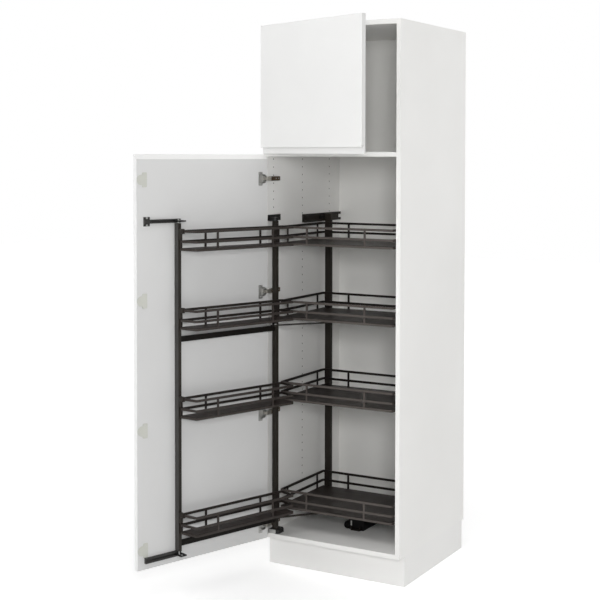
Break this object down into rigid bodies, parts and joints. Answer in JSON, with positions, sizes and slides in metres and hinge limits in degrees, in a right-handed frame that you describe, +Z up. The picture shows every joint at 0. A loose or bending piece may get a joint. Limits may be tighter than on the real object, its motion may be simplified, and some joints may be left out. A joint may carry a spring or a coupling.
{
  "type": "tall pull-out kitchen cabinet",
  "caption": "Tall white kitchen cabinet with an ajar upper door and an open lower door whose dark wire baskets swing out while inner baskets slide forward.",
  "frame": {"origin": "On the floor, at the middle of the plinth's front face.", "axes": "+X to the right seen from the front, +Y to the back of the cabinet, +Z up."},
  "size_m": [0.7994, 1.182, 2.153],
  "materials": {
    "white_board": "matt white foil",
    "white_back": "matt white paint",
    "beech_dowel": "bare",
    "black_plastic": "fine grain",
    "zinc_steel": "zinc plated",
    "beige_plastic": "smooth",
    "dark_steel": "fine powder coat",
    "dark_laminate": "dark grained laminate"
  },
  "bodies": {
    "carcass": {"side_panel_left": "white_board", "side_panel_right": "white_board", "bottom_panel": "white_board", "divider_shelf": "white_board", "top_panel": "white_board", "back_board": "white_back", "wall_rail": "white_board", "panel_dowels": "beech_dowel", "plinth_front": "white_board", "plinth_side_left": "white_board", "plinth_side_right": "white_board", "leg_sockets": "black_plastic", "leg_feet": "black_plastic", "plinth_clips": "black_plastic", "hinge_plates": "zinc_steel", "hinge_arms": "zinc_steel", "hinge_pins": "zinc_steel", "pivot_bracket_foot": "black_plastic", "pivot_bracket_head": "black_plastic", "pivot_pins": "zinc_steel", "top_runner": "dark_steel", "floor_runner": "dark_steel", "carcass_screws": "zinc_steel"},
    "lower_door": {"lower_door_panel": "white_board", "lower_hinge_cups": "zinc_steel", "cover_caps": "beige_plastic", "door_guide_top": "dark_steel", "door_guide_bottom": "dark_steel", "lower_door_screws": "zinc_steel"},
    "guide_shoes": {"guide_shoes": "black_plastic"},
    "swing_frame": {"pivot_post": "dark_steel", "outer_post": "dark_steel", "guide_pins": "zinc_steel", "cross_bars": "dark_steel", "crank_plates": "dark_steel", "link_bolts": "zinc_steel", "door_basket_1": "dark_steel", "door_basket_2": "dark_steel", "door_basket_3": "dark_steel", "door_basket_4": "dark_steel", "door_tray_1": "dark_laminate", "door_tray_2": "dark_laminate", "door_tray_3": "dark_laminate", "door_tray_4": "dark_laminate"},
    "links": {"link_rods": "dark_steel"},
    "inner_frame": {"inner_post": "dark_steel", "top_carriage": "black_plastic", "floor_carriage": "black_plastic", "link_brackets": "dark_steel", "inner_basket_1": "dark_steel", "inner_basket_2": "dark_steel", "inner_basket_3": "dark_steel", "inner_basket_4": "dark_steel", "inner_tray_1": "dark_laminate", "inner_tray_2": "dark_laminate", "inner_tray_3": "dark_laminate", "inner_tray_4": "dark_laminate"},
    "upper_door": {"upper_door_panel": "white_board", "upper_hinge_cups": "zinc_steel", "upper_door_screws": "zinc_steel"}
  },
  "joints": [
    {"name": "lower_door_swing", "type": "hinge", "parent": "carcass", "child": "lower_door", "pos_m": [-0.2925, -0.06, 0.882], "axis": [0, 0, -1], "range_deg": [-109.2, 1.8]},
    {"name": "upper_door_swing", "type": "hinge", "parent": "carcass", "child": "upper_door", "pos_m": [-0.2925, -0.06, 1.9], "axis": [0, 0, -1], "range_deg": [-20.5, 89.5]},
    {"name": "swing_frame_turn", "type": "hinge", "parent": "carcass", "child": "swing_frame", "pos_m": [-0.258, -0.032, 0.77], "axis": [0, 0, -1], "range_deg": [-109.2, 1.8]},
    {"name": "guide_shoe_slide", "type": "slide", "parent": "lower_door", "child": "guide_shoes", "axis": [-0.3289, -0.9444, 0], "range_m": [-0.002, 0.07279]},
    {"name": "link_turn", "type": "hinge", "parent": "swing_frame", "child": "links", "pos_m": [-0.23753, -0.06039, 0.972], "axis": [0, 0, -1], "range_deg": [-1.9, 109.3]},
    {"name": "inner_frame_slide", "type": "slide", "parent": "carcass", "child": "inner_frame", "axis": [0, 1, 0], "range_m": [-0.0012, 0.05736]}
  ],
  "couplings": [
    {"joint": "swing_frame_turn", "follows": "lower_door_swing", "ratio": 1},
    {"joint": "guide_shoe_slide", "follows": "lower_door_swing", "m_per_rad": -0.037929},
    {"joint": "link_turn", "follows": "lower_door_swing", "ratio": -1},
    {"joint": "inner_frame_slide", "follows": "lower_door_swing", "m_per_rad": -0.029937}
  ]
}
